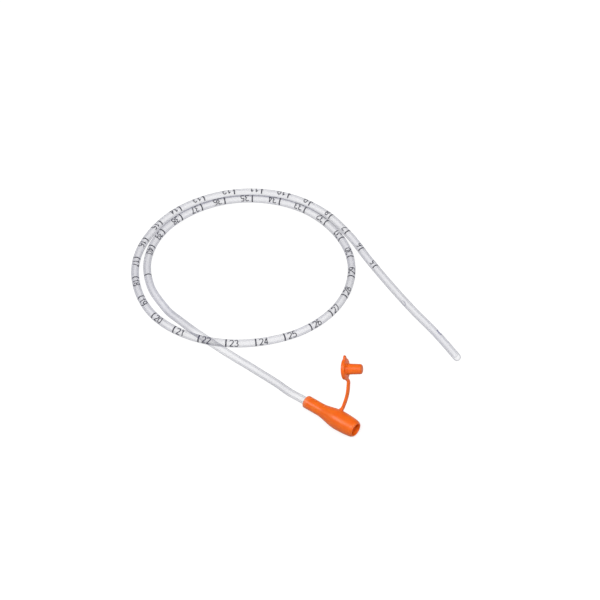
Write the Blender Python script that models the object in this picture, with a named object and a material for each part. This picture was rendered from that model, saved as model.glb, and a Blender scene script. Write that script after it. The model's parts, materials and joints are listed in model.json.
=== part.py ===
"""Infant feeding tube: a soft clear tube with a closed tip and a moulded funnel connector.

The funnel lies along +X with its mouth towards +X. A strap that bends at both ends
carries a plug cap, which stands open above the funnel. The tube lies on the ground,
z = 0, in two loose turns. Sizes are in millimetres and are turned into metres by MM.
"""
import math

import bmesh
import bpy
import numpy as np
from mathutils import Euler, Matrix, Vector
from mathutils.geometry import interpolate_bezier

MM = 0.001
FIT_GAP = 0.3

# Tube
TUBE_DIAMETER = 2.7
LUMEN_DIAMETER = 1.8
SOCKET_DEPTH = 7.0
CORD_STEP = 6.6

# Funnel connector, a turned shape: diameters from the mouth back to the tail
CONNECTOR_LENGTH = 21.7
MOUTH_DIAMETER = 5.4
BELLY_DIAMETER = 6.9
BELLY_BACK = 7.4
TAIL_DIAMETER = 4.5
TAIL_LENGTH = 6.0
EDGE_ROUND = 0.35
BORE_DIAMETER = 4.2
BORE_TAPER = 0.15
BORE_CONE = 3.2
LUMEN_WEB = 0.8

# Strap root: how far back from the mouth, its roll from upright towards +Y, and its rise
ROOT_BACK = 8.4
ROOT_ROLL = math.radians(50.0)
ROOT_RISE = 1.75
ROOT_WIDTH = 2.0
ROOT_THICKNESS = 1.4
ROOT_SINK = 0.5

# Strap
STRAP_WIDTH = 1.6
STRAP_THICKNESS = 0.8
STRAP_BOW = 0.55

# Cap: a disc, the plug that seals the mouth, and a small pull tab
DISC_DIAMETER = 7.4
DISC_THICKNESS = 1.25
DISC_ROUND = 0.22
PLUG_DIAMETER = 3.8
PLUG_TAPER = 0.15
PLUG_LENGTH = 5.4
PLUG_ROUND = 0.7
TAB_REACH = 1.3
TAB_WIDTH = 2.6
TAB_TIP_WIDTH = 1.0
TAB_THICKNESS = 0.8
TAB_BACK = 0.45
TAB_SINK = 0.6

# Open position of strap and cap
STRAP_AZIMUTH = math.radians(108.5)
STRAP_ELEVATION = math.radians(58.65)
CAP_TURN = (math.radians(-23.3), math.radians(-12.56), math.radians(25.5))

# Place of the funnel: its axis runs beside the origin, so that the strap and the cap
# on its other side balance it, and its belly touches the ground
AXIS_Y = -4.9
AXIS_Z = BELLY_DIAMETER / 2

# Number of flat sides of a turned shape
TURNED_SIDES = 40

# Route of the tube from inside the funnel's socket to the tip: x, y, and the lift
# of its centre above where it lies on the ground
ROUTE = [
    (-3.8, -4.9, 2.10), (-12.4, -4.9, 2.08), (-18.0, -4.8, 1.76), (-24.9, -3.5, 0.87),
    (-32.8, -2.6, 0.06), (-42.3, -2.3, 0.00), (-51.1, -2.8, 1.23), (-60.3, -3.5, 3.15),
    (-69.2, -1.5, 1.77), (-78.4, 1.3, 0.00), (-90.1, 6.8, 0.00), (-99.7, 16.9, 0.00),
    (-104.4, 30.5, 0.00), (-103.1, 44.8, 0.00), (-96.6, 57.7, 0.00), (-85.5, 66.9, 0.00),
    (-71.9, 71.1, 0.00), (-57.8, 69.5, 0.00), (-44.9, 62.8, 0.00), (-35.9, 51.5, 0.00),
    (-32.1, 37.6, 0.00), (-34.0, 23.3, 0.00), (-41.1, 10.7, 0.00), (-51.9, 1.0, 0.00),
    (-65.4, -4.2, 0.00), (-79.8, -3.8, 0.00), (-92.7, 2.8, 0.00), (-102.3, 13.6, 0.00),
    (-107.1, 27.3, 0.00), (-107.1, 41.7, 0.00), (-102.0, 55.3, 0.00), (-92.6, 66.2, 0.00),
    (-79.7, 72.9, 0.00), (-65.3, 74.2, 0.00), (-51.2, 70.7, 0.00), (-37.8, 65.0, 0.00),
    (-24.3, 59.7, 0.00), (-10.6, 54.8, 0.00), (3.3, 50.5, 0.00), (16.9, 45.4, 0.00),
]

# Places that follow from the sizes
AXIS_X = Vector((1, 0, 0))
MOUTH = Vector((CONNECTOR_LENGTH / 2, AXIS_Y, AXIS_Z))
TAIL = MOUTH - AXIS_X * CONNECTOR_LENGTH
ROOT_UP = Vector((0, math.sin(ROOT_ROLL), math.cos(ROOT_ROLL)))
HINGE_ROUND = STRAP_THICKNESS / 2
HINGE_CLEARANCE = HINGE_ROUND + FIT_GAP
ROOT_REACH = BELLY_DIAMETER / 2 + ROOT_RISE
STRAP_FOOT = MOUTH - AXIS_X * ROOT_BACK + ROOT_UP * ROOT_REACH
CAP_REACH = DISC_DIAMETER / 2 + HINGE_CLEARANCE
CLOSED_END = MOUTH + AXIS_X * FIT_GAP + ROOT_UP * CAP_REACH
STRAP_LENGTH = (CLOSED_END - STRAP_FOOT).length
OPEN_WAY = Vector((
    math.cos(STRAP_ELEVATION) * math.cos(STRAP_AZIMUTH),
    math.cos(STRAP_ELEVATION) * math.sin(STRAP_AZIMUTH),
    math.sin(STRAP_ELEVATION),
))
CLOSED_WAY = (CLOSED_END - STRAP_FOOT).normalized()
STRAP_END = STRAP_FOOT + OPEN_WAY * STRAP_LENGTH
FOOT_AXIS = OPEN_WAY.cross(CLOSED_WAY).normalized()
FOOT_UP = AXIS_X.cross(FOOT_AXIS).normalized()
CAP_MATRIX = Euler(CAP_TURN, "XYZ").to_matrix()

# The cap's hinge axis: the one turn that seats the open cap once the strap has closed
STRAP_CLOSING = OPEN_WAY.rotation_difference(CLOSED_WAY).to_matrix()
SEATED_CAP = Matrix((-AXIS_X, ROOT_UP.cross(AXIS_X), -ROOT_UP)).transposed()
CAP_CLOSING = STRAP_CLOSING.inverted() @ SEATED_CAP @ CAP_MATRIX.inverted()
CAP_AXIS = CAP_CLOSING.to_quaternion().axis


def clear_scene():
    for item in list(bpy.data.objects):
        bpy.data.objects.remove(item, do_unlink=True)


def plastic(name, color, roughness, alpha=1.0):
    """A Principled material in the moulding's colour."""
    material = bpy.data.materials.new(name)
    material.use_nodes = True
    shader = material.node_tree.nodes["Principled BSDF"]
    shader.inputs["Base Color"].default_value = (*color, 1.0)
    shader.inputs["Roughness"].default_value = roughness
    shader.inputs["Metallic"].default_value = 0.0
    shader.inputs["Alpha"].default_value = alpha
    material.diffuse_color = (*color, alpha)
    return material


def add_object(name, data, material, matrix):
    """Put a mesh or curve in the scene at a placement given in millimetres."""
    item = bpy.data.objects.new(name, data)
    bpy.context.scene.collection.objects.link(item)
    data.materials.append(material)
    place = matrix.copy()
    place.translation = matrix.translation * MM
    item.matrix_world = place
    return item


def placed(point, rotation):
    """A placement from a point and a 3 x 3 rotation."""
    return Matrix.Translation(point) @ rotation.to_4x4()


def arc(center, radius, start, end, steps):
    """Points (r, z) on an arc of a profile, with its angles in degrees from +r."""
    angles = np.radians(np.linspace(start, end, steps + 1))
    return [(center[0] + radius * math.cos(a), center[1] + radius * math.sin(a)) for a in angles]


def smooth(a, b, steps):
    """Points between two profile points, leaving and arriving along the axis."""
    shares = [i / steps for i in range(1, steps)]
    return [(a[0] + (b[0] - a[0]) * (3 - 2 * s) * s * s, a[1] + (b[1] - a[1]) * s) for s in shares]


def turned(name, profile, closed, material, matrix):
    """Turn a profile of (r, z) points round z with a Screw modifier."""
    mesh = bpy.data.meshes.new(name)
    points = [(r * MM, 0, z * MM) for r, z in profile]
    edges = [(i, i + 1) for i in range(len(points) - 1)]
    if closed:
        edges.append((len(points) - 1, 0))
    mesh.from_pydata(points, edges, [])
    item = add_object(name, mesh, material, matrix)
    screw = item.modifiers.new("Turned", "SCREW")
    screw.axis = "Z"
    screw.steps = TURNED_SIDES
    screw.render_steps = TURNED_SIDES
    screw.use_merge_vertices = True
    screw.merge_threshold = 0.00001
    screw.use_smooth_shade = True
    return item


def lofted(name, rings, material, matrix):
    """Join rings of points, each a closed loop of as many points, into one closed solid."""
    solid = bmesh.new()
    loops = [[solid.verts.new(Vector(point) * MM) for point in ring] for ring in rings]
    for lower, upper in zip(loops, loops[1:]):
        for i in range(len(lower)):
            j = (i + 1) % len(lower)
            solid.faces.new((lower[i], lower[j], upper[j], upper[i]))
    solid.faces.new(list(reversed(loops[0])))
    solid.faces.new(loops[-1])
    bmesh.ops.recalc_face_normals(solid, faces=solid.faces)
    mesh = bpy.data.meshes.new(name)
    solid.to_mesh(mesh)
    solid.free()
    return add_object(name, mesh, material, matrix)


def rounded_rectangle(width, height, corner):
    """A loop of 12 points (a, b) round a rectangle with bevelled round corners."""
    a = width / 2
    b = height / 2
    chord = corner * (1 - math.cos(math.radians(45)))
    quarter = [(a, b - corner), (a - chord, b - chord), (a - corner, b)]
    top = quarter + [(-x, y) for x, y in reversed(quarter)]
    return top + [(-x, -y) for x, y in top]


def unite(item, extra, name):
    """Weld an extra shape to a piece with a Boolean union."""
    extra.hide_render = True
    extra.display_type = "WIRE"
    union = item.modifiers.new(name, "BOOLEAN")
    union.operation = "UNION"
    union.solver = "EXACT"
    union.object = extra


def connector_profile():
    """The funnel's closed section, (r, z) from the mouth's outer edge, z = 0 at the tail."""
    mouth_r = MOUTH_DIAMETER / 2
    belly_r = BELLY_DIAMETER / 2
    tail_r = TAIL_DIAMETER / 2
    bore_r = BORE_DIAMETER / 2
    bore_end_r = bore_r - BORE_TAPER
    lumen_r = LUMEN_DIAMETER / 2
    socket_r = TUBE_DIAMETER / 2 + FIT_GAP
    length = CONNECTOR_LENGTH
    belly_z = length - BELLY_BACK
    socket_z = SOCKET_DEPTH + FIT_GAP
    neck_z = socket_z + LUMEN_WEB
    cone_z = neck_z + BORE_CONE
    rim_r = mouth_r - EDGE_ROUND
    rim_z = length - EDGE_ROUND
    lip = EDGE_ROUND / 2

    points = arc((rim_r, rim_z), EDGE_ROUND, 90, 0, 3)
    # The flare swells fast behind the rim and is flat at the belly
    flare = [math.radians(a) for a in (20, 40, 60, 75)]
    points += [(mouth_r + (belly_r - mouth_r) * math.sin(a), rim_z - (rim_z - belly_z) * (1 - math.cos(a)))
               for a in flare]
    points.append((belly_r, belly_z))
    points += smooth((belly_r, belly_z), (tail_r, TAIL_LENGTH), 7)
    points.append((tail_r, TAIL_LENGTH))
    points += arc((tail_r - EDGE_ROUND, EDGE_ROUND), EDGE_ROUND, 0, -90, 3)
    # Back along the inside: the tube's socket, the lumen, the cone and the tapered bore
    points += [(socket_r + lip, 0), (socket_r, lip)]
    points += [(socket_r, socket_z), (lumen_r, socket_z), (lumen_r, neck_z)]
    points += smooth((lumen_r, neck_z), (bore_end_r, cone_z), 4)
    points.append((bore_end_r, cone_z))
    points += [(bore_r, length - lip), (bore_r + lip, length)]
    return points


def root_stub(material):
    """The stub that the strap springs from: it leans from the funnel's wall to the hinge."""
    wall = MOUTH - AXIS_X * ROOT_BACK + ROOT_UP * (BELLY_DIAMETER / 2 - ROOT_SINK)
    top = STRAP_FOOT - FOOT_UP * HINGE_CLEARANCE
    bevel = EDGE_ROUND / (top - wall).length
    levels = [
        (0.0, ROOT_WIDTH, ROOT_THICKNESS),
        (0.45, (ROOT_WIDTH + STRAP_WIDTH) / 2, (ROOT_THICKNESS + STRAP_THICKNESS) / 2),
        (1 - bevel, STRAP_WIDTH, STRAP_THICKNESS),
        (1.0, STRAP_WIDTH - EDGE_ROUND, STRAP_THICKNESS - EDGE_ROUND),
    ]
    rings = []
    for share, width, thickness in levels:
        center = wall.lerp(top, share) - STRAP_FOOT
        way_up = ROOT_UP.lerp(FOOT_UP, share).normalized()
        side = way_up.cross(AXIS_X)
        loop = rounded_rectangle(thickness, width, EDGE_ROUND * thickness / ROOT_THICKNESS)
        rings.append([center + AXIS_X * a + side * b for a, b in loop])
    return lofted("strap_root_shape", rings, material, Matrix.Translation(STRAP_FOOT))


def make_connector(material):
    along_x = Matrix.Rotation(math.radians(90), 3, "Y")
    connector = turned("funnel_connector", connector_profile(), True, material, placed(TAIL, along_x))
    unite(connector, root_stub(material), "Strap root")
    return connector


def make_strap(material):
    """The strap, with an end rounded about each hinge. Its origin is on the lower hinge."""
    way_in_foot = OPEN_WAY.cross(FOOT_AXIS)
    foot_turn = Matrix((FOOT_AXIS, way_in_foot, OPEN_WAY)).transposed()
    # At the cap the strap's width lies along the cap's hinge axis, seen down the strap
    cap_axis = foot_turn.inverted() @ CAP_AXIS
    twist = math.atan2(cap_axis.y, cap_axis.x)
    if abs(twist) > math.pi / 2:
        twist -= math.copysign(math.pi, twist)
    bow_side = 1 if (foot_turn @ Vector((0, 1, 0))).x > 0 else -1
    # Stations along the strap, each with its share of the full thickness
    round_end = [math.radians(a) for a in (-75, -45, -15)]
    stations = [(HINGE_ROUND * math.sin(a), math.cos(a)) for a in round_end]
    stations += [(STRAP_LENGTH * i / 8, 1.0) for i in range(1, 8)]
    stations += [(STRAP_LENGTH - z, share) for z, share in reversed(stations[:3])]
    rings = []
    for z, share in stations:
        s = min(max(z / STRAP_LENGTH, 0), 1)
        turn = twist * (3 - 2 * s) * s * s
        offset = bow_side * STRAP_BOW * math.sin(math.pi * s)
        width = STRAP_WIDTH * (0.5 + 0.5 * share)
        loop = rounded_rectangle(width, STRAP_THICKNESS * share, 0.6 * HINGE_ROUND * share)
        rings.append([(
            a * math.cos(turn) - b * math.sin(turn),
            a * math.sin(turn) + b * math.cos(turn) + offset,
            z,
        ) for a, b in loop])
    return lofted("cap_strap", rings, material, placed(STRAP_FOOT, foot_turn))


def make_cap(material):
    """The cap. In its own frame +X is the plug's way, +Z the tab's way, and the origin its hinge."""
    disc_r = DISC_DIAMETER / 2
    plug_r = PLUG_DIAMETER / 2
    plug_end_r = plug_r - PLUG_TAPER
    fillet = DISC_ROUND
    profile = [(0, PLUG_LENGTH)]
    profile += arc((plug_end_r - PLUG_ROUND, PLUG_LENGTH - PLUG_ROUND), PLUG_ROUND, 80, 0, 4)
    profile += [(plug_r, fillet), (plug_r + fillet * 0.3, fillet * 0.3), (plug_r + fillet, 0)]
    profile += arc((disc_r - DISC_ROUND, -DISC_ROUND), DISC_ROUND, 90, 0, 3)
    profile += arc((disc_r - DISC_ROUND, DISC_ROUND - DISC_THICKNESS), DISC_ROUND, 0, -90, 3)
    profile.append((0, -DISC_THICKNESS))
    along_x = Matrix.Rotation(math.radians(90), 3, "Y")
    center = STRAP_END + CAP_MATRIX @ Vector((0, 0, CAP_REACH))
    cap = turned("closure_cap", profile, False, material, placed(center, CAP_MATRIX @ along_x))

    levels = [
        (disc_r - TAB_SINK, TAB_WIDTH),
        (disc_r - DISC_ROUND, TAB_WIDTH),
        (disc_r + TAB_REACH * 0.6, (TAB_WIDTH + TAB_TIP_WIDTH) / 2),
        (disc_r + TAB_REACH * 0.92, TAB_TIP_WIDTH),
        (disc_r + TAB_REACH, TAB_TIP_WIDTH * 0.55),
    ]
    rings = []
    for z, width in levels:
        loop = rounded_rectangle(TAB_THICKNESS, width, TAB_THICKNESS * 0.25)
        rings.append([(a - TAB_BACK, b, z) for a, b in loop])
    unite(cap, lofted("pull_tab_shape", rings, material, placed(center, CAP_MATRIX)), "Pull tab")
    return cap


def cord_points():
    """Evenly spaced points on a smooth curve through the route's points."""
    ground = TUBE_DIAMETER / 2
    route = [Vector((x, y, ground + lift)) for x, y, lift in ROUTE]
    # At each point the curve runs along the line between its two neighbours
    ways = [(after - before).normalized() for before, after in zip(route, route[2:])]
    ways = [-AXIS_X] + ways + [(route[-1] - route[-2]).normalized()]
    dense = []
    for i in range(len(route) - 1):
        handle = (route[i + 1] - route[i]).length / 3
        leave = route[i] + ways[i] * handle
        arrive = route[i + 1] - ways[i + 1] * handle
        dense += interpolate_bezier(route[i], leave, arrive, route[i + 1], 20)[:-1]
    dense.append(route[-1])
    gaps = [(q - p).length for p, q in zip(dense, dense[1:])]
    along = np.concatenate(([0.0], np.cumsum(gaps)))
    wanted = np.linspace(0, along[-1], round(along[-1] / CORD_STEP) + 1)
    x, y, z = [np.interp(wanted, along, [point[axis] for point in dense]) for axis in range(3)]
    return list(zip(x, y, np.maximum(z, ground)))


def make_tube(material):
    """The tube as one solid along its route, from the socket to the closed tip."""
    points = cord_points()
    curve = bpy.data.curves.new("feeding_tube", "CURVE")
    curve.dimensions = "3D"
    curve.bevel_depth = TUBE_DIAMETER / 2 * MM
    curve.bevel_resolution = 2
    curve.use_fill_caps = True
    spline = curve.splines.new("POLY")
    spline.points.add(len(points) - 1)
    for point, place in zip(spline.points, points):
        point.co = (*(value * MM for value in place), 1)
    return add_object("feeding_tube", curve, material, Matrix.Identity(4))


def main():
    clear_scene()
    orange = plastic("orange_moulding", (0.90, 0.13, 0.02), 0.35)
    clear = plastic("clear_tube", (0.78, 0.78, 0.82), 0.22, alpha=0.45)
    make_connector(orange)
    make_strap(orange)
    make_cap(orange)
    make_tube(clear)


main()
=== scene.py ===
# %% [markdown]
# # An infant feeding tube
# A soft clear tube lies in two loose turns on a white table. One end is closed and
# rounded, the other is bonded into an orange funnel with a plug cap on a strap. The
# exact solids are already packed as a fixed frame, so this lesson only dresses them:
# each piece below is built where its solid is, and then rides on the same body.

# %% Load the fixed frame
import json
import math

import bmesh
import bpy
import numpy as np
from mathutils import Euler, Matrix, Vector
from mathutils.geometry import interpolate_bezier


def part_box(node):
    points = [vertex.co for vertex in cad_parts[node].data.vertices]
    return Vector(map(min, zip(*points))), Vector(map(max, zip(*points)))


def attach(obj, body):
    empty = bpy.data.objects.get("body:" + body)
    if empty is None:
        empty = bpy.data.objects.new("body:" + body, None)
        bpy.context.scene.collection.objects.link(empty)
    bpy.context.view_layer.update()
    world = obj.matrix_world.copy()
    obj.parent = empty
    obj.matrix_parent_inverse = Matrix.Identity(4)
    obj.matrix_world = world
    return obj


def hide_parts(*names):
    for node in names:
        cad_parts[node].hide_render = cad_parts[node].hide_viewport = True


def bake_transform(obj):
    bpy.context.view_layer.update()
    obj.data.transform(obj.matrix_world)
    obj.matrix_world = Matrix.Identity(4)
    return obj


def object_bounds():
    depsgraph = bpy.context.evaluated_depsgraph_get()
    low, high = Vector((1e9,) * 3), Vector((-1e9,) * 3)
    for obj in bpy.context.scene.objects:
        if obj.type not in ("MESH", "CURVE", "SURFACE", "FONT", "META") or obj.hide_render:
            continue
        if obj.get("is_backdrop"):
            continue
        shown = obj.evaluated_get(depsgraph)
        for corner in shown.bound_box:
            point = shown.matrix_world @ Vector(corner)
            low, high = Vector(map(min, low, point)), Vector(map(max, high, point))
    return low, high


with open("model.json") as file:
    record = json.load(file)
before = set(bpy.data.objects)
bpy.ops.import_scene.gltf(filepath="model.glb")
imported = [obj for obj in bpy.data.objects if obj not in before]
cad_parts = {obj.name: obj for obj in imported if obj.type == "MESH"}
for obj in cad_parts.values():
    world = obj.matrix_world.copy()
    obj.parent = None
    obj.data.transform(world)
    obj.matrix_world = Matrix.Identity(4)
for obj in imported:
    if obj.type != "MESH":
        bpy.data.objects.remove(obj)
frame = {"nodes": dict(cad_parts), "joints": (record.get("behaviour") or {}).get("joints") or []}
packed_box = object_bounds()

MM = 0.001
for node in frame["nodes"]:
    low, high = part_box(node)
    print(node, "is", [round((b - a) / MM, 1) for a, b in zip(low, high)], "mm")

# %% [markdown]
# ## The camera
# The picture was taken from a long way off, so parallel lines hardly meet. A long lens
# far away gives that. The direction comes from how round the turns of the tube look:
# they lie flat on the table, and the camera sees them squeezed to 0.70 of their width,
# so it looks down at about 45 degrees.

# %% Place the camera
# The point in the middle of the picture, and the way from it to the camera
AIM = Vector((-44.44, 34.04, 1.35)) * MM
TO_CAMERA = Vector((0.4423, -0.5560, 0.7037)).normalized()
CAMERA_DISTANCE = 1.5
SENSOR_WIDTH = 36
LENS_LENGTH = 256.2
NEAREST_SEEN = 0.05
FARTHEST_SEEN = 20

camera_data = bpy.data.cameras.new("photo_camera")
camera_data.sensor_width = SENSOR_WIDTH
camera_data.lens = LENS_LENGTH
camera_data.clip_start = NEAREST_SEEN
camera_data.clip_end = FARTHEST_SEEN
camera = bpy.data.objects.new("photo_camera", camera_data)
camera.location = AIM + TO_CAMERA * CAMERA_DISTANCE
camera.rotation_mode = "QUATERNION"
camera.rotation_quaternion = (-TO_CAMERA).to_track_quat("-Z", "Y")
bpy.context.scene.collection.objects.link(camera)
bpy.context.scene.camera = camera
print("camera at", [round(value, 3) for value in camera.location])

# %% [markdown]
# ## The line that the tube follows
# A cord is first of all a line. The route is the same list of points that the solid
# tube follows: x, y and the lift above the table, in millimetres. A Bezier curve
# through them bends smoothly, because at each point it runs along the line between the
# two neighbours. The curve is then cut into short steps.

# %% The route and its smooth line
TUBE_RADIUS = 1.35 * MM
LUMEN_RADIUS = 0.9 * MM
LINE_STEPS = 19
ROUTE = [
    (-3.8, -4.9, 2.10), (-12.4, -4.9, 2.08), (-18.0, -4.8, 1.76), (-24.9, -3.5, 0.87),
    (-32.8, -2.6, 0.06), (-42.3, -2.3, 0.00), (-51.1, -2.8, 1.23), (-60.3, -3.5, 3.15),
    (-69.2, -1.5, 1.77), (-78.4, 1.3, 0.00), (-90.1, 6.8, 0.00), (-99.7, 16.9, 0.00),
    (-104.4, 30.5, 0.00), (-103.1, 44.8, 0.00), (-96.6, 57.7, 0.00), (-85.5, 66.9, 0.00),
    (-71.9, 71.1, 0.00), (-57.8, 69.5, 0.00), (-44.9, 62.8, 0.00), (-35.9, 51.5, 0.00),
    (-32.1, 37.6, 0.00), (-34.0, 23.3, 0.00), (-41.1, 10.7, 0.00), (-51.9, 1.0, 0.00),
    (-65.4, -4.2, 0.00), (-79.8, -3.8, 0.00), (-92.7, 2.8, 0.00), (-102.3, 13.6, 0.00),
    (-107.1, 27.3, 0.00), (-107.1, 41.7, 0.00), (-102.0, 55.3, 0.00), (-92.6, 66.2, 0.00),
    (-79.7, 72.9, 0.00), (-65.3, 74.2, 0.00), (-51.2, 70.7, 0.00), (-37.8, 65.0, 0.00),
    (-24.3, 59.7, 0.00), (-10.6, 54.8, 0.00), (3.3, 50.5, 0.00), (16.9, 45.4, 0.00),
]


def smooth_line(points, first_way, steps):
    """A fine line through the points, in so many steps from each one to the next."""
    ways = [(after - before).normalized() for before, after in zip(points, points[2:])]
    ways = [first_way] + ways + [(points[-1] - points[-2]).normalized()]
    line = []
    for i in range(len(points) - 1):
        reach = (points[i + 1] - points[i]).length / 3
        leave = points[i] + ways[i] * reach
        arrive = points[i + 1] - ways[i + 1] * reach
        line += interpolate_bezier(points[i], leave, arrive, points[i + 1], steps + 1)[:-1]
    line.append(points[-1])
    return line


route = [Vector((x * MM, y * MM, lift * MM + TUBE_RADIUS)) for x, y, lift in ROUTE]
fine = np.array(smooth_line(route, Vector((-1, 0, 0)), LINE_STEPS))
fine[:, 2] = np.maximum(fine[:, 2], TUBE_RADIUS)
along = np.concatenate(([0.0], np.cumsum(np.linalg.norm(np.diff(fine, axis=0), axis=1))))
TUBE_LENGTH = along[-1]
print("the tube is", round(TUBE_LENGTH / MM, 1), "mm long, with the part inside the funnel")

# %% [markdown]
# ## A place on the tube
# The tube, its side eyes and its printed scale all need the same question answered:
# where is the surface, so far from the start and so far round? One helper answers it.
# "Up" is the way to the top of the tube, "side" is to the right when walking along it.

# %% Helpers that find places on the tube
WAY_REACH = 0.4 * MM


def tube_center(distance):
    """The middle of the tube at a distance from the start of its line."""
    return Vector([float(np.interp(distance, along, fine[:, axis])) for axis in range(3)])


def tube_place(distance):
    """The middle, the way along, the side way and the up way at a distance from the start."""
    way = (tube_center(distance + WAY_REACH) - tube_center(distance - WAY_REACH)).normalized()
    side = way.cross(Vector((0, 0, 1))).normalized()
    return tube_center(distance), way, side, side.cross(way)


def on_tube(distance, angle, radius):
    """A point at an angle from the top, turned towards the side, and at a radius."""
    center, _, side, up = tube_place(distance)
    return center + (up * math.cos(angle) + side * math.sin(angle)) * radius


print("half way the tube is at", [round(v / MM) for v in tube_center(TUBE_LENGTH / 2)], "mm")

# %% [markdown]
# ## Skins made of loops
# The tube, the funnel, the cap, the strap and each stroke of the print are made in one
# way: loops of points lie one after the other, and a band of faces joins each loop to
# the next. Curves with a thickness could make some of them, but loops that are placed
# by code can take any section, and change it along the way.

# %% Helpers that join loops
def join_loops(shell, first, second):
    """A band of faces between two loops of as many points."""
    band = []
    for i in range(len(first)):
        j = (i + 1) % len(first)
        band.append(shell.faces.new((first[i], first[j], second[j], second[i])))
    return band


def join_point(shell, loop, point):
    """A fan of triangles from a loop to one point."""
    for i in range(len(loop)):
        j = (i + 1) % len(loop)
        shell.faces.new((loop[i], loop[j], point))


def join_bar(shell, loops):
    """A bar along all the loops, with a flat face on each end."""
    for first, second in zip(loops, loops[1:]):
        join_loops(shell, first, second)
    shell.faces.new(list(reversed(loops[0])))
    shell.faces.new(loops[-1])


print("loops can now be joined")

# %% Helpers that keep a skin as a piece
def mesh_of(shell, name):
    """Keep what was built as a mesh."""
    mesh = bpy.data.meshes.new(name)
    shell.to_mesh(mesh)
    shell.free()
    return mesh


def closed_mesh_of(shell, name):
    """Turn all faces of a closed skin outward and keep it as a mesh."""
    bmesh.ops.recalc_face_normals(shell, faces=shell.faces)
    return mesh_of(shell, name)


def add_piece(name, mesh):
    """Put a mesh in the scene as an object at the origin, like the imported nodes."""
    piece = bpy.data.objects.new(name, mesh)
    bpy.context.scene.collection.objects.link(piece)
    return piece


def shade(piece, sharp_from):
    """Smooth shading, with a sharp edge where faces turn by more than some degrees."""
    piece.data.shade_smooth()
    piece.data.set_sharp_from_angle(angle=math.radians(sharp_from))


print("skins can now be kept as pieces")

# %% [markdown]
# ## The clear tube
# On the real object the tube is one soft extrusion: an outside wall, a lumen inside it
# and a moulded round tip. Light bends at both walls, so a clear tube only looks right
# if the lumen is there too. The mesh is a chain of rings that runs along the outside to
# the tip, then turns back inside the lumen, and ends where the lumen opens in the funnel.

# %% Make the tube with its lumen
RING_SIDES = 40
RING_STEP = 1.0 * MM
TIP_WALL = 1.6 * MM
TIP_ANGLES = (18, 36, 54, 70, 82)
PIT_ANGLES = (80, 60, 40, 20)
# The material numbers of the tube's faces
OUTER_WALL = 0
LUMEN_WALL = 1
EYE_RIM = 2


def dome(start, radius, angles):
    """Rings of a round end that starts at a distance, at angles from its widest ring."""
    turns = [math.radians(angle) for angle in angles]
    return [(start + radius * math.sin(turn), radius * math.cos(turn)) for turn in turns]


def tube_rings():
    """Distance and radius of each ring of the outside, and of the lumen from its end back."""
    count = round(TUBE_LENGTH / RING_STEP)
    tip = TUBE_LENGTH - TUBE_RADIUS
    pit = TUBE_LENGTH - TIP_WALL - LUMEN_RADIUS
    outside = [(distance, TUBE_RADIUS) for distance in np.linspace(0, tip, count)]
    inside = [(distance, LUMEN_RADIUS) for distance in np.linspace(pit, 0, count)]
    outside = outside + dome(tip, TUBE_RADIUS, TIP_ANGLES)
    inside = dome(pit, LUMEN_RADIUS, PIT_ANGLES) + inside
    return outside, inside


def tube_loop(shell, distance, radius):
    """One ring of points round the tube's line."""
    angles = [2 * math.pi * i / RING_SIDES for i in range(RING_SIDES)]
    return [shell.verts.new(on_tube(distance, angle, radius)) for angle in angles]


def make_tube():
    shell = bmesh.new()
    outside, inside = [[tube_loop(shell, *ring) for ring in rings] for rings in tube_rings()]
    for wall, chain in ((OUTER_WALL, outside), (LUMEN_WALL, inside)):
        for first, second in zip(chain, chain[1:]):
            for face in join_loops(shell, first, second):
                face.material_index = wall
    join_point(shell, outside[-1], shell.verts.new(tube_center(TUBE_LENGTH)))
    join_point(shell, inside[0], shell.verts.new(tube_center(TUBE_LENGTH - TIP_WALL)))
    join_loops(shell, inside[-1], outside[0])
    return add_piece("soft_tube", closed_mesh_of(shell, "soft_tube"))


soft_tube = make_tube()
print("the tube has", len(soft_tube.data.polygons), "faces")

# %% [markdown]
# ## Side eyes
# Feed leaves through two oval holes near the tip, one on each side, because the end
# itself is closed. On the real tube they are punched. Here a short oval cylinder, like
# the punch, is taken away from the wall with a Boolean, and the result is kept as the
# tube's own mesh. The cut faces get a finish of their own, because they look darker.

# %% Punch the side eyes
# For each eye: how far from the tip, in mm, and the angle from the tube's top, in degrees
EYES = [(33.2, 78), (14.3, -62)]
EYE_LENGTH = 2.6 * MM
EYE_WIDTH = 1.3 * MM
PUNCH_DEPTH = 1.4 * MM
PUNCH_SIDES = 20


def combine(piece, other, operation):
    """A Boolean of two closed meshes, kept as the piece's own mesh; the other is used up."""
    boolean = piece.modifiers.new(operation.title(), "BOOLEAN")
    boolean.operation = operation
    boolean.solver = "EXACT"
    boolean.object = other
    bpy.context.view_layer.update()
    shown = piece.evaluated_get(bpy.context.evaluated_depsgraph_get())
    mesh = bpy.data.meshes.new_from_object(shown)
    piece.modifiers.clear()
    piece.data = mesh
    bpy.data.objects.remove(other, do_unlink=True)


def eye_punch(from_tip, angle):
    """A short oval cylinder that stands in the wall, longest along the tube."""
    center, way, side, up = tube_place(TUBE_LENGTH - from_tip * MM)
    out = up * math.cos(math.radians(angle)) + side * math.sin(math.radians(angle))
    punch = bmesh.new()
    bmesh.ops.create_cone(
        punch, cap_ends=True, segments=PUNCH_SIDES, radius1=0.5, radius2=0.5, depth=1)
    turn = Matrix((way, out.cross(way), out)).transposed().to_4x4()
    size = Matrix.Diagonal((EYE_LENGTH, EYE_WIDTH, PUNCH_DEPTH, 1))
    punch.transform(Matrix.Translation(center + out * TUBE_RADIUS) @ turn @ size)
    return add_piece("eye_punch", mesh_of(punch, "eye_punch"))


for from_tip, angle in EYES:
    combine(soft_tube, eye_punch(from_tip, angle), "DIFFERENCE")
print("the tube with its two eyes has", len(soft_tube.data.polygons), "faces")

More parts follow.
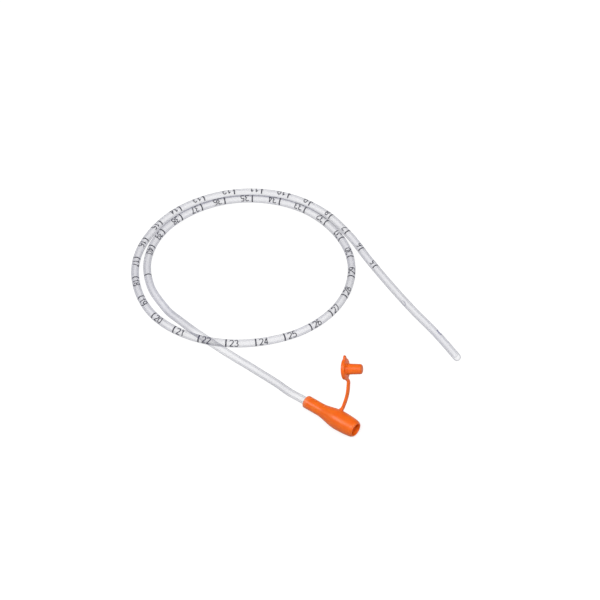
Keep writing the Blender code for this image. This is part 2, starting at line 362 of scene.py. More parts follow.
# %% Mark the cut faces
# A cut face has its middle inside the wall, between these distances from the line
CUT_FROM = LUMEN_RADIUS * 1.04
CUT_TO = TUBE_RADIUS * 0.97


def from_line(point, distance):
    """How far a point is from the tube's line near a distance, and how far along from it."""
    center, way, _, _ = tube_place(distance)
    offset = point - center
    return (offset - way * offset.dot(way)).length, abs(offset.dot(way))


def mark_cut_faces():
    """Give the faces that the punch left in the wall a material number of their own."""
    marked = 0
    for face in soft_tube.data.polygons:
        for from_tip, _ in EYES:
            away, aside = from_line(face.center, TUBE_LENGTH - from_tip * MM)
            if aside < EYE_LENGTH and CUT_FROM < away < CUT_TO:
                face.material_index = EYE_RIM
                marked += 1
    return marked


print("the punch left", mark_cut_faces(), "faces in the wall")
shade(soft_tube, sharp_from=50)

# %% [markdown]
# ## The printed scale
# Every centimetre from 5 to 40 has a short bar and its number, printed on one side of
# the tube, so that a nurse sees how deep the tip lies. It could be painted in the
# material, but ink that is real geometry stays sharp from close by and bends with the
# tube. Each digit is drawn with a pen: a list of strokes in a box 0.62 wide and 1 high.

# %% Draw the ten digits as strokes
def sweep(center_x, center_y, radius_x, radius_y, start, end, steps=10):
    """Points on part of an oval, from one angle in degrees to another."""
    angles = [math.radians(start + (end - start) * i / steps) for i in range(steps + 1)]
    return [(center_x + radius_x * math.cos(a), center_y + radius_y * math.sin(a)) for a in angles]


DIGITS = {
    "0": [sweep(0.31, 0.5, 0.28, 0.5, 0, 360, 20)],
    "1": [[(0.1, 0.76), (0.36, 1.0), (0.36, 0.5), (0.36, 0.0)]],
    "2": [sweep(0.31, 0.72, 0.28, 0.28, 165, -35) + [(0.03, 0.0), (0.3, 0.0), (0.6, 0.0)]],
    "3": [sweep(0.29, 0.75, 0.26, 0.25, 150, -80), sweep(0.29, 0.27, 0.3, 0.27, 85, -150)],
    "4": [[(0.44, 0.0), (0.44, 0.5), (0.44, 1.0), (0.02, 0.3), (0.3, 0.3), (0.6, 0.3)]],
    "5": [[(0.55, 1.0), (0.12, 1.0), (0.08, 0.55)] + sweep(0.29, 0.32, 0.3, 0.32, 125, -150)],
    "6": [sweep(0.4, 0.6, 0.36, 0.4, 80, 180, 6) + sweep(0.32, 0.3, 0.28, 0.3, 180, -170, 16)],
    "7": [[(0.03, 1.0), (0.3, 1.0), (0.59, 1.0), (0.38, 0.5), (0.2, 0.0)]],
    "8": [sweep(0.31, 0.76, 0.23, 0.24, -90, 270, 16), sweep(0.31, 0.27, 0.28, 0.27, 90, 450, 18)],
    "9": [sweep(0.22, 0.4, 0.36, 0.4, -100, 0, 6) + sweep(0.3, 0.7, 0.28, 0.3, 0, 350, 16)],
}
print("strokes of each digit:", {digit: len(strokes) for digit, strokes in DIGITS.items()})

# %% [markdown]
# ## Bend the print round the tube
# A stroke becomes a thin flat ribbon. Its points are laid on the tube: what is
# "along the text" goes along the tube towards the funnel, what is "up the text" goes
# round it. The numbers face the way that the tube happens to have twisted to, and in
# places the print slipped a little along the tube.

# %% Lay a stroke of ink on the tube
INK_TOP = TUBE_RADIUS + 0.02 * MM
INK_FOOT = TUBE_RADIUS - 0.01 * MM


def ribbon(shell, points, width):
    """A closed flat ribbon through points (along, angle) laid on the tube's surface."""
    flat = [Vector((distance, angle * TUBE_RADIUS)) for distance, angle in points]
    rows = []
    for i, point in enumerate(flat):
        ahead = (flat[min(i + 1, len(flat) - 1)] - flat[max(i - 1, 0)]).normalized()
        across = Vector((-ahead.y, ahead.x)) * width / 2
        row = []
        for edge, radius in ((1, INK_FOOT), (1, INK_TOP), (-1, INK_TOP), (-1, INK_FOOT)):
            spot = point + across * edge
            row.append(shell.verts.new(on_tube(spot.x, spot.y / TUBE_RADIUS, radius)))
        rows.append(row)
    join_bar(shell, rows)


def finer(points, step):
    """The same stroke with no step longer than the given one."""
    made = [points[0]]
    for first, second in zip(points, points[1:]):
        count = max(1, math.ceil((Vector(second) - Vector(first)).length / step))
        made += [tuple(Vector(first).lerp(Vector(second), i / count)) for i in range(1, count + 1)]
    return made


print("the ink is", round((INK_TOP - TUBE_RADIUS) / MM, 3), "mm proud of the tube")

# %% Find the place of each mark
MARK_SPACING = 10 * MM
TIP_TO_ZERO = 3.5 * MM
# For some marks: the angle of the print from the tube's top, in degrees
PRINT_TWIST = [
    (5, -8), (8, -2), (9, -15), (13, -12), (16, -2), (17, 10), (19, -19), (21, -39),
    (24, -45), (27, -33), (31, 24), (32, 21), (35, 33), (38, 36), (40, 13),
]
# For some marks: how far the print slipped towards the funnel, in mm
PRINT_SLIP = [
    (5, 0), (9, 0.2), (10, -1), (12, -1), (13, 0.5), (17, 0.9), (21, 0.7), (23, 0),
    (26, 0.7), (28, 0), (32, 0), (36, 0.9), (38, -0.9), (39, -0.9), (40, -2.2),
]


def between(number, table):
    """A value read off a short table, evenly between its rows."""
    return float(np.interp(number, [row[0] for row in table], [row[1] for row in table]))


def mark_place(number):
    """How far along the tube a mark stands, and the angle that its print faces."""
    slip = between(number, PRINT_SLIP) * MM
    distance = TUBE_LENGTH - TIP_TO_ZERO - number * MARK_SPACING - slip
    return distance, math.radians(between(number, PRINT_TWIST))


print("mark 10 stands", round((TUBE_LENGTH - mark_place(10)[0]) / MM, 1), "mm from the tip")

# %% Print the scale
FIRST_MARK = 5
LAST_MARK = 40
END_MARK = 41.47
PEN = 0.35 * MM
STROKE_STEP = 0.12
DIGIT_HEIGHT = 2.4 * MM
DIGIT_SPREAD = 2.15 * MM
DIGIT_PITCH = 1.65 * MM
BAR_TO_DIGITS = 1.25 * MM
BAR_PEN = 0.50 * MM
BAR_HALF_ANGLE = math.radians(76)
BAR_POINTS = 15


def print_bar(shell, distance, middle):
    """A bar across the tube at one distance."""
    angles = np.linspace(middle - BAR_HALF_ANGLE, middle + BAR_HALF_ANGLE, BAR_POINTS)
    ribbon(shell, [(distance, angle) for angle in angles], BAR_PEN)


def print_number(shell, text, start, middle):
    """The digits one after the other, from the bar towards the funnel."""
    for place, digit in enumerate(text):
        for stroke in DIGITS[digit]:
            points = []
            for u, v in finer(stroke, STROKE_STEP):
                distance = start - place * DIGIT_PITCH - u * DIGIT_SPREAD
                angle = middle + (v - 0.5) * DIGIT_HEIGHT / TUBE_RADIUS
                points.append((distance, angle))
            ribbon(shell, points, PEN)


def make_scale():
    shell = bmesh.new()
    for number in range(FIRST_MARK, LAST_MARK + 1):
        bar, middle = mark_place(number)
        print_bar(shell, bar, middle)
        print_number(shell, str(number), bar - BAR_TO_DIGITS, middle)
    # A bar without a number closes the scale
    print_bar(shell, *mark_place(END_MARK))
    return add_piece("centimetre_scale", closed_mesh_of(shell, "centimetre_scale"))


centimetre_scale = make_scale()
print("the scale has", len(centimetre_scale.data.polygons), "faces")

# %% [markdown]
# ## The funnel connector
# This is a round moulding, so a lathe makes it: a closed section is turned about the
# funnel's axis. The section goes round the rim, along the belly to the slim tail, and
# back inside through the socket of the tube, the narrow lumen and the tapered bore that
# takes a syringe. The tube is bonded in, so the socket sits tight on it.

# %% A lathe
LATHE_SIDES = 96


def lathe_loop(shell, x, radius, place):
    """A ring of points round the X axis of a placement, or one point on the axis itself."""
    if radius == 0:
        return [shell.verts.new(place @ Vector((x, 0, 0)))]
    angles = [2 * math.pi * i / LATHE_SIDES for i in range(LATHE_SIDES)]
    ring = [Vector((x, radius * math.cos(a), radius * math.sin(a))) for a in angles]
    return [shell.verts.new(place @ point) for point in ring]


def turned_mesh(name, section, closed, place):
    """Turn a section of (along, radius) points about the X axis of a placement."""
    shell = bmesh.new()
    loops = [lathe_loop(shell, x, radius, place) for x, radius in section]
    pairs = list(zip(loops, loops[1:]))
    if closed:
        pairs.append((loops[-1], loops[0]))
    for first, second in pairs:
        if len(first) == 1:
            join_point(shell, second, first[0])
        elif len(second) == 1:
            join_point(shell, first, second[0])
        else:
            join_loops(shell, first, second)
    return closed_mesh_of(shell, name)


def ease(start, end, steps):
    """Points between two section points that leave and arrive along the axis."""
    made = []
    for i in range(1, steps):
        share = i / steps
        x = start[0] + (end[0] - start[0]) * share
        radius = start[1] + (end[1] - start[1]) * share * share * (3 - 2 * share)
        made.append((x, radius))
    return made


print("the lathe turns a section into", LATHE_SIDES, "sides")

# %% The sizes of the funnel
# The outside: distances are from the tail's end
FUNNEL_LENGTH = 21.7 * MM
RIM_ROUND = 0.35 * MM
MOUTH_RADIUS = 2.7 * MM
BELLY_RADIUS = 3.45 * MM
BELLY_AT = 14.3 * MM
TAIL_RADIUS = 2.25 * MM
TAIL_LENGTH = 6.0 * MM
TAIL_MIDDLE = 3.5 * MM
TAIL_ROUND = 0.5 * MM
FLARE_ANGLES = np.linspace(4, 88, 22)
# The inside: the tube's socket with its entry, the lumen, a cone and the tapered bore
ENTRY_RADIUS = 1.42 * MM
ENTRY_DEPTH = 0.08 * MM
SOCKET_RADIUS = 1.355 * MM
SOCKET_DEPTH = 7.3 * MM
LUMEN_END = 8.1 * MM
CONE_END = 11.3 * MM
BORE_RADIUS = 1.95 * MM
BORE_MOUTH_RADIUS = 2.1 * MM
LIP_ROUND = 0.15 * MM
# The place: the axis, and the tail's end on it
AXIS_Y = -4.9 * MM
AXIS_Z = 3.45 * MM
TAIL_X = -10.85 * MM
print("the funnel is", round(FUNNEL_LENGTH / MM, 1), "mm long")

# %% Turn the funnel
def funnel_outside():
    """From the rim's front over the belly to the tail's end."""
    rim_back = FUNNEL_LENGTH - RIM_ROUND
    rim = sweep(rim_back, MOUTH_RADIUS - RIM_ROUND, RIM_ROUND, RIM_ROUND, 0, 90, 8)
    flare = []
    for angle in np.radians(FLARE_ANGLES):
        x = rim_back - (rim_back - BELLY_AT) * (1 - math.cos(angle))
        flare.append((x, MOUTH_RADIUS + (BELLY_RADIUS - MOUTH_RADIUS) * math.sin(angle)))
    widest = (BELLY_AT, BELLY_RADIUS)
    neck = (TAIL_LENGTH, TAIL_RADIUS)
    belly = [widest] + ease(widest, neck, 24) + [neck, (TAIL_MIDDLE, TAIL_RADIUS)]
    tail = sweep(TAIL_ROUND, TAIL_RADIUS - TAIL_ROUND, TAIL_ROUND, TAIL_ROUND, 90, 180, 8)
    return rim + flare + belly + tail


def funnel_inside():
    """From the tail's end through the socket, the lumen and the bore to the lip."""
    socket = [(0, ENTRY_RADIUS), (ENTRY_DEPTH, SOCKET_RADIUS), (SOCKET_DEPTH, SOCKET_RADIUS)]
    lumen = [(SOCKET_DEPTH, LUMEN_RADIUS), (LUMEN_END, LUMEN_RADIUS)]
    bore = [(CONE_END, BORE_RADIUS), (FUNNEL_LENGTH - LIP_ROUND, BORE_MOUTH_RADIUS)]
    lip = sweep(FUNNEL_LENGTH - LIP_ROUND, BORE_MOUTH_RADIUS + LIP_ROUND,
                LIP_ROUND, LIP_ROUND, -90, 0, 5)
    return socket + lumen + ease(lumen[1], bore[0], 10) + bore + lip[1:]


funnel_place = Matrix.Translation((TAIL_X, AXIS_Y, AXIS_Z))
funnel_section = funnel_outside() + funnel_inside()
funnel = add_piece("funnel", turned_mesh("funnel", funnel_section, True, funnel_place))
shade(funnel, sharp_from=40)
print("the funnel has", len(funnel.data.polygons), "faces")

# %% [markdown]
# ## The plug cap
# The cap is a flat disc with a blunt plug on its front, which seals the mouth, and a
# small tab to pull it by. Disc and plug are turned, the tab is a tapering bar that is
# joined on with a Boolean union. The cap hangs open, turned a little away from the
# funnel, so it gets a placement of its own.

# %% Turn the disc and its plug
PLUG_LENGTH = 5.4 * MM
PLUG_ROUND = 0.7 * MM
PLUG_TIP_RADIUS = 1.75 * MM
PLUG_RADIUS = 1.9 * MM
PLUG_FOOT = 0.45 * MM
FILLET = 0.35 * MM
DISC_RADIUS = 3.7 * MM
DISC_THICKNESS = 1.25 * MM
DISC_ROUND = 0.3 * MM
BACK_RING_RADIUS = 1.2 * MM
# How far the disc's middle is from the bend at the strap's top, and how the cap is turned
CAP_REACH = 4.4 * MM
CAP_ANGLES = (-23.3, -12.56, 25.5)
HINGES = {joint["name"]: joint for joint in frame["joints"]}
STRAP_TOP = Vector(HINGES["cap_bend"]["pos_m"])
CAP_TURN = Euler([math.radians(angle) for angle in CAP_ANGLES], "XYZ").to_matrix()
cap_up = CAP_TURN @ Vector((0, 0, 1))
cap_front = CAP_TURN @ Vector((1, 0, 0))
cap_place = Matrix.Translation(STRAP_TOP + cap_up * CAP_REACH) @ CAP_TURN.to_4x4()


def cap_section():
    """Plug end, plug, small fillet, disc front, round edge, disc back."""
    plug_end = [(PLUG_LENGTH, 0)] + sweep(
        PLUG_LENGTH - PLUG_ROUND, PLUG_TIP_RADIUS - PLUG_ROUND, PLUG_ROUND, PLUG_ROUND, 0, 90, 8)
    fillet = sweep(FILLET, PLUG_RADIUS + FILLET, FILLET, FILLET, -90, -180, 6)
    edge_radius = DISC_RADIUS - DISC_ROUND
    front_edge = sweep(-DISC_ROUND, edge_radius, DISC_ROUND, DISC_ROUND, 0, 90, 6)
    back_edge = sweep(DISC_ROUND - DISC_THICKNESS, edge_radius, DISC_ROUND, DISC_ROUND, 90, 180, 6)
    back = [(-DISC_THICKNESS, BACK_RING_RADIUS), (-DISC_THICKNESS, 0)]
    return plug_end + [(PLUG_FOOT, PLUG_RADIUS)] + fillet[1:] + front_edge + back_edge + back


cap = add_piece("plug_cap", turned_mesh("plug_cap", cap_section(), False, cap_place))
print("disc and plug have", len(cap.data.polygons), "faces")

# %% Join the pull tab on
TAB_BACK = 0.45 * MM
TAB_CORNER = 0.3 * MM
# Height above the disc's middle, width and thickness, in mm
TAB_LEVELS = [
    (3.0, 2.7, 0.8), (3.6, 2.6, 0.8), (4.1, 2.2, 0.78), (4.5, 1.6, 0.76),
    (4.75, 1.15, 0.72), (4.9, 0.8, 0.6), (4.98, 0.45, 0.4),
]
# A corner takes up at most this share of half the shorter side
LARGEST_CORNER = 0.98


def bar_mesh(name, rings):
    """Join loops of as many points into one closed bar."""
    shell = bmesh.new()
    join_bar(shell, [[shell.verts.new(point) for point in ring] for ring in rings])
    return closed_mesh_of(shell, name)


def round_box(width, height, corner, steps=5):
    """A loop of points (a, b) round a rectangle with round corners."""
    corner = min(corner, LARGEST_CORNER * min(width, height) / 2)
    loop = []
    for x, y, start in ((1, 1, 0), (-1, 1, 90), (-1, -1, 180), (1, -1, 270)):
        center_x = x * (width / 2 - corner)
        center_y = y * (height / 2 - corner)
        loop += sweep(center_x, center_y, corner, corner, start, start + 90, steps)
    return loop


def tab_rings():
    """The rings of the pull tab, from inside the disc up to its tip."""
    rings = []
    for height, width, thickness in TAB_LEVELS:
        loop = round_box(thickness * MM, width * MM, TAB_CORNER)
        rings.append([cap_place @ Vector((a - TAB_BACK, b, height * MM)) for a, b in loop])
    return rings


combine(cap, add_piece("pull_tab", bar_mesh("pull_tab", tab_rings())), "UNION")
shade(cap, sharp_from=38)
print("the cap has", len(cap.data.polygons), "faces")

# %% [markdown]
# ## The strap's line
# The strap is moulded on to both the funnel and the cap, and bends near each end. Its
# outline is a row of rounded rectangles along a smooth line: wide where it grows out of
# the funnel, slim in the middle, and running into the disc's edge. Each rectangle is a
# station: its place, the way of its width, its width and its thickness.

# %% The strap's ends and the ways there
ROOT_ROLL = math.radians(50)
ROOT_X = 2.45 * MM
ROOT_HEIGHT = 2.95 * MM
STUB_LENGTH = 0.7 * MM

FOOT = Vector(HINGES["strap_bend"]["pos_m"])
FOOT_AXIS = Vector(HINGES["strap_bend"]["axis"])
CAP_AXIS = Vector(HINGES["cap_bend"]["axis"])
STRAP_WAY = (STRAP_TOP - FOOT).normalized()
STRAP_LENGTH = (STRAP_TOP - FOOT).length
STUB_WAY = Vector((1, 0, 0)).cross(FOOT_AXIS).normalized()
root_up = Vector((0, math.sin(ROOT_ROLL), math.cos(ROOT_ROLL)))
root_side = root_up.cross(Vector((1, 0, 0)))
root_on_wall = Vector((ROOT_X, AXIS_Y, AXIS_Z)) + root_up * ROOT_HEIGHT
stub_top = FOOT - STUB_WAY * STUB_LENGTH
print("there are", round(STRAP_LENGTH / MM, 2), "mm between the strap's two bends")

# %% Lay out the stations
STRAP_BOW = 0.55 * MM
FREE_STEPS = 6
# The width and the thickness of the free strap, in mm, as in each station
STRAP_SIZE = (1.6, 0.8)

bow_way = STRAP_WAY.cross(FOOT_AXIS).normalized()
if bow_way.x < 0:
    bow_way.negate()
root_stations = [
    (root_on_wall, root_side, 2.1, 1.5),
    (root_on_wall.lerp(stub_top, 0.38), root_side, 1.85, 1.2),
    (root_on_wall.lerp(stub_top, 0.58), root_side, 1.66, 0.95),
    (root_on_wall.lerp(stub_top, 0.85), FOOT_AXIS, 1.61, 0.83),
    (stub_top, FOOT_AXIS, 1.6, 0.81),
    (FOOT, FOOT_AXIS, *STRAP_SIZE),
]
free_stations = []
for i in range(1, FREE_STEPS):
    share = i / FREE_STEPS
    bow = bow_way * STRAP_BOW * math.sin(math.pi * share)
    side = FOOT_AXIS.lerp(CAP_AXIS, share).normalized()
    free_stations.append((FOOT + STRAP_WAY * STRAP_LENGTH * share + bow, side, *STRAP_SIZE))
top_stations = [
    (STRAP_TOP, CAP_AXIS, *STRAP_SIZE),
    (STRAP_TOP + cap_up * 0.65 * MM - cap_front * 0.35 * MM, CAP_AXIS, 1.8, 0.82),
    (STRAP_TOP + cap_up * 1.3 * MM - cap_front * 0.5 * MM, CAP_AXIS, 2.1, 0.85),
]
stations = root_stations + free_stations + top_stations
print("the strap has", len(stations), "stations")

# %% [markdown]
# ## The two halves of the strap
# The strap could be one piece, but a blend bends a piece across one joint only, and the
# strap bends at two. The strap bends at two places, so its rings are split at the
# middle station, and both halves share the ring there.

# %% Make the two halves of the strap
STATION_STEPS = 5
CORNER_OF_THICKNESS = 0.36
HUG_STATIONS = 4


def hug_funnel(point, at):
    """Near the funnel the foot drops with the round wall, so that it hugs it."""
    out = (point - Vector((point.x, AXIS_Y, AXIS_Z))).dot(root_side)
    drop = BELLY_RADIUS - math.sqrt(max(BELLY_RADIUS ** 2 - out ** 2, 0))
    return point - root_up * drop * max(0, 1 - at / HUG_STATIONS) ** 2


def strap_rings():
    """Fine rings along the strap, with so many steps from each station to the next."""
    line = smooth_line([station[0] for station in stations], root_up, STATION_STEPS)
    rings = []
    for i, center in enumerate(line):
        at = i / STATION_STEPS
        k = min(int(at), len(stations) - 2)
        share = at - k
        _, first_side, first_width, first_thickness = stations[k]
        _, second_side, second_width, second_thickness = stations[k + 1]
        way = (line[min(i + 1, len(line) - 1)] - line[max(i - 1, 0)]).normalized()
        side = first_side.lerp(second_side, share)
        side = (side - way * side.dot(way)).normalized()
        flat = way.cross(side)
        width = (first_width + (second_width - first_width) * share) * MM
        thickness = (first_thickness + (second_thickness - first_thickness) * share) * MM
        loop = round_box(thickness, width, thickness * CORNER_OF_THICKNESS)
        rings.append([hug_funnel(center + flat * a + side * b, at) for a, b in loop])
    return rings


all_rings = strap_rings()
middle_station = len(root_stations) - 1 + FREE_STEPS // 2
middle_ring = STATION_STEPS * middle_station
halves_of_rings = {"strap_lower": all_rings[:middle_ring + 1], "strap_upper": all_rings[middle_ring:]}
strap_halves = []
for name, rings in halves_of_rings.items():
    half = add_piece(name, bar_mesh(name, rings))
    shade(half, sharp_from=60)
    strap_halves.append(half)
    print(name, "has", len(half.data.polygons), "faces")

# %% [markdown]
# ## A short way to write materials
# Materials are node trees. They could be linked node by node, but then the idea gets lost
# among the links. To read them like sums, one small class wraps a socket and turns
# +, -, * and / into Math nodes.

# %% Sockets that can be added and multiplied
class Amount:
    """A number that changes over a surface: the output socket of a node."""

    def __init__(self, finish, socket):
        self.finish = finish
        self.socket = socket

    def sum_node(self, operation, first, second):
        return self.finish.node("ShaderNodeMath", {"operation": operation}, {0: first, 1: second})

    def __add__(self, other):
        return self.sum_node("ADD", self, other)

    def __radd__(self, other):
        return self.sum_node("ADD", other, self)

    def __sub__(self, other):
        return self.sum_node("SUBTRACT", self, other)

    def __rsub__(self, other):
        return self.sum_node("SUBTRACT", other, self)

    def __mul__(self, other):
        return self.sum_node("MULTIPLY", self, other)

    def __rmul__(self, other):
        return self.sum_node("MULTIPLY", other, self)

    def __truediv__(self, other):
        return self.sum_node("DIVIDE", self, other)

    def __rtruediv__(self, other):
        return self.sum_node("DIVIDE", other, self)


print("sockets can now be added, subtracted, multiplied and divided")

# %% [markdown]
# ## One method for any other node
# A finish is a material or the world, with an empty tree to begin with. One method adds a
# node, sets what it is told to set, and links or fills its sockets. The few nodes that
# come up again and again get a short name on top of it.

# %% A finish that grows node by node
class Finish:
    """A material, or the world, whose nodes are added one by one."""

    # The numbers of the sockets of a Mix node that mixes colours
    MIX_FACTOR = 0
    MIX_FIRST = 6
    MIX_SECOND = 7
    MIX_RESULT = 2

    def __init__(self, owner):
        self.owner = owner
        owner.use_nodes = True
        self.tree = owner.node_tree
        self.tree.nodes.clear()

    def node(self, kind, settings=None, sockets=None, output=0):
        """Add a node with its settings, and with a value or a link for each socket named."""
        made = self.tree.nodes.new(kind)
        for name, value in (settings or {}).items():
            setattr(made, name, value)
        for name, value in (sockets or {}).items():
            if isinstance(value, Amount):
                self.tree.links.new(value.socket, made.inputs[name])
            else:
                made.inputs[name].default_value = value
        return Amount(self, made.outputs[output]) if made.outputs else None

    def mix_color(self, factor, first, second):
        sockets = {self.MIX_FACTOR: factor, self.MIX_FIRST: first, self.MIX_SECOND: second}
        return self.node("ShaderNodeMix", {"data_type": "RGBA"}, sockets, self.MIX_RESULT)

    def larger(self, first, second):
        return self.node("ShaderNodeMath", {"operation": "MAXIMUM"}, {0: first, 1: second})

    def noise(self, scale, detail):
        """Soft random patches, fixed to the piece; a larger scale makes them smaller."""
        place = self.node("ShaderNodeTexCoord", output="Object")
        sockets = {"Vector": place, "Scale": scale, "Detail": detail}
        return self.node("ShaderNodeTexNoise", {}, sockets)


print("materials can now be written as sums")

# %% [markdown]
# ## Orange moulding
# The funnel, strap and cap are one soft orange plastic with a satin skin. A satin
# moulding is never one flat colour: the skin is a little deeper in places, the gloss
# varies where it left the mould, and a very fine grain breaks up the highlight. Some
# light goes into the plastic and comes out again, which softens the shading.

# %% The orange plastic
ORANGE = (0.97, 0.180, 0.008, 1)
DEEP_ORANGE = (0.91, 0.130, 0.004, 1)
TAIL_HIGHLIGHT_ORANGE = (0.93, 0.33, 0.16, 1)
# The tail is thin over the tube; towards its end its colour is painted paler, as a painted highlight
HIGHLIGHT_FROM = TAIL_X + 1.9 * MM
HIGHLIGHT_TO = TAIL_X + 0.1 * MM
HIGHLIGHT_SHARE = 0.55
SKIN_RELIEF = 0.03 * MM
LIGHT_DEPTH = 0.5 * MM


def orange_plastic():
    finish = Finish(bpy.data.materials.new("orange_plastic"))
    clouds = finish.noise(scale=260, detail=3)
    grain = finish.noise(scale=5200, detail=2)
    place = finish.node("ShaderNodeTexCoord", output="Object")
    across = finish.node("ShaderNodeSeparateXYZ", {}, {"Vector": place}, "X")
    # Painted highlight: the colour turns paler and pinker towards the tail's end
    tail = finish.node("ShaderNodeMapRange", {"clamp": True}, {
        "Value": across, "From Min": HIGHLIGHT_FROM, "From Max": HIGHLIGHT_TO, "To Min": 0, "To Max": HIGHLIGHT_SHARE})
    body = finish.mix_color(clouds, DEEP_ORANGE, ORANGE)
    bump = finish.node("ShaderNodeBump", {}, {
        "Strength": 0.12, "Distance": SKIN_RELIEF, "Height": grain + clouds * 0.5})
    surface = finish.node("ShaderNodeBsdfPrincipled", {}, {
        "Base Color": finish.mix_color(tail, body, TAIL_HIGHLIGHT_ORANGE),
        "Roughness": 0.28 + clouds * 0.13,
        "Normal": bump,
        "IOR": 1.46,
        "Specular IOR Level": 0.5,
        "Subsurface Weight": 0.2,
        "Subsurface Radius": (1.0, 0.32, 0.1),
        "Subsurface Scale": LIGHT_DEPTH,
    })
    finish.node("ShaderNodeOutputMaterial", {}, {"Surface": surface})
    return finish.owner


orange_pieces = (funnel, cap, *strap_halves)
orange = orange_plastic()
for piece in orange_pieces:
    piece.data.materials.append(orange)
print("orange plastic on", [piece.name for piece in orange_pieces])

# %% [markdown]
# ## Clear soft plastic
# A clear thing on a white ground is hardly there in the middle and turns grey at its
# edges, where one looks along the wall instead of through it. Glass that bends light
# would do that too, but in a wall of half a millimetre it costs many samples and sparkles.
# So the wall is a thin grey veil: see-through where it faces us, denser towards the edge.
# The outer wall and the lumen both count, so the bore shows as a lighter line inside.
# The cut rims of the eyes are dense all over.

# %% The clear plastic
WALL_GREY = (0.07, 0.072, 0.11, 1)
WALL_LILAC = (0.15, 0.15, 0.39, 1)
# For each finish, in the order of the faces' numbers: the veil face on, and more at the edge
VEILS = {"outer_wall": (0.025, 0.74), "lumen_wall": (0.015, 0.34), "eye_rim": (0.38, 0.20)}


def clear_plastic(name, veil, edge_veil):
    finish = Finish(bpy.data.materials.new(name))
    waves = finish.noise(scale=30, detail=2)
    skin = finish.noise(scale=900, detail=2)
    turned_away = finish.node("ShaderNodeLayerWeight", {}, {"Blend": 0.5}, "Facing")
    bump = finish.node("ShaderNodeBump", {}, {
        "Strength": 0.03, "Distance": SKIN_RELIEF, "Height": skin})
    surface = finish.node("ShaderNodeBsdfPrincipled", {}, {
        "Base Color": finish.mix_color(waves, WALL_GREY, WALL_LILAC),
        "Roughness": 0.10 + skin * 0.10,
        "Alpha": veil + waves * 0.04 + turned_away * turned_away * edge_veil,
        "Normal": bump,
        "IOR": 1.5,
        "Specular IOR Level": 0.4,
    })
    finish.node("ShaderNodeOutputMaterial", {}, {"Surface": surface})
    return finish.owner


for name, (veil, edge_veil) in VEILS.items():
    soft_tube.data.materials.append(clear_plastic(name, veil, edge_veil))
used_numbers = sorted({face.material_index for face in soft_tube.data.polygons})
print("clear plastic on", soft_tube.name, "in", used_numbers)

# %% [markdown]
# ## Ink
# The print is thin and a bit patchy, because the pad does not lay down the same amount
# everywhere. It is a dark blue-grey rather than black.

# %% The ink
THICK_INK = (0.035, 0.035, 0.05, 1)
THIN_INK = (0.10, 0.10, 0.13, 1)


def grey_ink():
    finish = Finish(bpy.data.materials.new("grey_ink"))
    patches = finish.noise(scale=2600, detail=2)
    surface = finish.node("ShaderNodeBsdfPrincipled", {}, {
        "Base Color": finish.mix_color(patches, THICK_INK, THIN_INK),
        "Roughness": 0.4 + patches * 0.3,
    })
    finish.node("ShaderNodeOutputMaterial", {}, {"Surface": surface})
    return finish.owner


centimetre_scale.data.materials.append(grey_ink())
print("ink on", centimetre_scale.name)

# %% [markdown]
# ## The table
# The photo has a clean white ground. The table is a plain mid-grey for the light that
# it throws back on the object, and is lifted to white where it is looked at, directly
# or in gloss and clear plastic. The soft shadow stays.

# %% The white table
TABLE_GREY = (0.36, 0.36, 0.36, 1)
TABLE_LIFT = 0.74
GLOSS_SHARE = 0.4
TABLE_SIZE = 4.0
TABLE_DROP = 0.02 * MM


def ray_kinds(finish):
    """1 where a ray comes from the camera or through glass, and 1 where it comes from gloss."""
    camera_ray = finish.node("ShaderNodeLightPath", output="Is Camera Ray")
    glossy_ray = finish.node("ShaderNodeLightPath", output="Is Glossy Ray")
    clear_ray = finish.node("ShaderNodeLightPath", output="Is Transmission Ray")
    return finish.larger(camera_ray, clear_ray), glossy_ray


def white_table():
    finish = Finish(bpy.data.materials.new("white_table"))
    paper = finish.node("ShaderNodeBsdfDiffuse", {}, {"Color": TABLE_GREY})
    seen, in_gloss = ray_kinds(finish)
    white = finish.larger(seen, in_gloss * GLOSS_SHARE)
    lift = finish.node("ShaderNodeEmission", {}, {"Strength": white * TABLE_LIFT})
    ground = finish.node("ShaderNodeAddShader", {}, {0: paper, 1: lift})
    finish.node("ShaderNodeOutputMaterial", {}, {"Surface": ground})
    return finish.owner


sheet = bmesh.new()
bmesh.ops.create_grid(sheet, x_segments=1, y_segments=1, size=TABLE_SIZE)
table_top = add_piece("table_top", mesh_of(sheet, "table_top"))
table_top.data.materials.append(white_table())
table_top.location = (0, 0, -TABLE_DROP)
table_top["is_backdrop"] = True
print("the table lies", TABLE_DROP / MM, "mm under the tube")

# %% [markdown]
# ## The room
# The room is white behind the object, and lights it evenly from all sides. Gloss sees
# it too, brightest near the horizon, as in a studio with pale walls.

# %% The room
ROOM_LIGHT = 0.26
GLOW_LIGHT = 0.7
GLOW_FROM = 0.02
GLOW_TO = 0.25


def pale_room():
    finish = Finish(bpy.data.worlds.new("room"))
    heading = finish.node("ShaderNodeTexCoord", output="Generated")
    height = finish.node("ShaderNodeSeparateXYZ", {}, {"Vector": heading}, "Z")
    backdrop = finish.node("ShaderNodeMapRange", {"clamp": True}, {
        "Value": height, "From Min": GLOW_FROM, "From Max": GLOW_TO,
        "To Min": GLOW_LIGHT, "To Max": ROOM_LIGHT})
    seen, in_gloss = ray_kinds(finish)
    strength = seen + (1 - seen) * (in_gloss * backdrop + (1 - in_gloss) * ROOM_LIGHT)
    sky = finish.node("ShaderNodeBackground", {}, {"Strength": strength})
    finish.node("ShaderNodeOutputWorld", {}, {"Surface": sky})
    return finish.owner


bpy.context.scene.world = pale_room()
print("the room gives", ROOM_LIGHT, "of the light")

# %% [markdown]
# ## Four soft lights
# Three soft lights stand on the camera's side, left, middle and right, because one
# alone would leave a hard bright line on the funnel. A weak low one behind, left out of
# the gloss, keeps the far side from going brown.

# %% Four soft lights
LIGHT_DISTANCE = 1.4
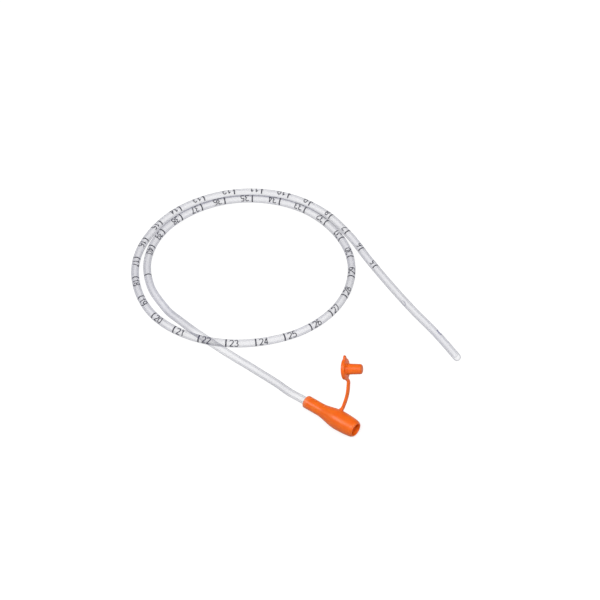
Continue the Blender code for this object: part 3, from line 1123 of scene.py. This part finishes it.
# The way to each light, round the object and up, in degrees, its size, and its share of white
LIGHTS = {
    "key_light": (25, 52, 0.6, 0.44),
    "left_light": (-35, 44, 0.5, 0.30),
    "right_light": (95, 38, 0.7, 0.32),
    "back_light": (215, 16, 0.5, 0.22),
}


def soft_light(name, azimuth, elevation, size, share):
    """A square lamp aimed at the object; share is how bright it makes white by itself."""
    lamp = bpy.data.lights.new(name, "AREA")
    lamp.size = size
    lamp.energy = share * (math.pi * LIGHT_DISTANCE) ** 2
    light = bpy.data.objects.new(name, lamp)
    a = math.radians(azimuth)
    e = math.radians(elevation)
    way = Vector((math.sin(a) * math.cos(e), -math.cos(a) * math.cos(e), math.sin(e)))
    light.location = AIM + way * LIGHT_DISTANCE
    light.rotation_mode = "QUATERNION"
    light.rotation_quaternion = (-way).to_track_quat("-Z", "Y")
    bpy.context.scene.collection.objects.link(light)
    print(name, "gives", round(lamp.energy, 1), "W")
    return light


lights = {name: soft_light(name, *values) for name, values in LIGHTS.items()}
lights["back_light"].visible_glossy = False
bpy.context.scene.view_settings.view_transform = "Standard"

# %% [markdown]
# ## Tie the pieces to the bodies
# The tube with its print, the funnel and the cap now ride on the bodies of their solids
# and take their places, and those solids are hidden. The strap's halves keep the place
# where they were built, and the strap's solid is hidden.

# %% Ride and replace
for piece, body, node, slot in (
    (soft_tube, "connector", "feeding_tube", "clear_tube"),
    (funnel, "connector", "funnel_connector", "orange_moulding"),
    (cap, "cap", "closure_cap", "orange_moulding"),
):
    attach(piece, body)
    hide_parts(node)
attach(centimetre_scale, "connector")

lower, upper = strap_halves
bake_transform(lower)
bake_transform(upper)
for half in strap_halves:
    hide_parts("cap_strap")

print("declared a cord of", round(TUBE_LENGTH / MM, 1), "mm")

# %% [markdown]
# ## The size before and after dressing
# Dressing the frame must not change how big the object is, so the box of the packed
# solids and the box of the dressed pieces are written side by side.

# %% Write both boxes and finish
dressed_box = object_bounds()
sizes = {
    "packed": [list(corner) for corner in packed_box],
    "dressed": [list(corner) for corner in dressed_box],
}
for name, corners in sizes.items():
    print(name, [[round(v / MM, 2) for v in corner] for corner in corners])
